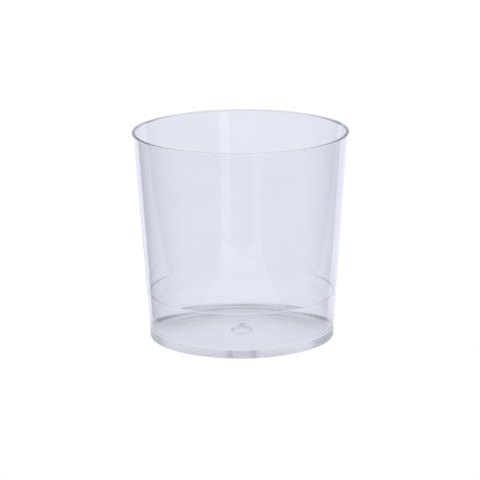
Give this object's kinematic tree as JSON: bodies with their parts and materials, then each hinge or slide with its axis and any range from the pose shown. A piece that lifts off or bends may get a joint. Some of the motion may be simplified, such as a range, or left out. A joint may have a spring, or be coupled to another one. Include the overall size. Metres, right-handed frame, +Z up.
{
  "type": "plastic tumbler cup",
  "caption": "Clear squat drinking tumbler with a tapered round wall, a rolled rim bead, an inner stacking step and a floor arched underneath.",
  "frame": {"origin": "middle of the plane that the foot ring stands on", "axes": "+Z up the cup's axis towards the mouth; the cup is round, so +X and +Y are free"},
  "size_m": [0.09, 0.09, 0.087],
  "materials": {
    "clear_polypropylene": "clear natural polypropylene, gloss moulded, with a faint cool haze"
  },
  "bodies": {
    "root": {"tumbler_cup": "clear_polypropylene"}
  },
  "joints": []
}
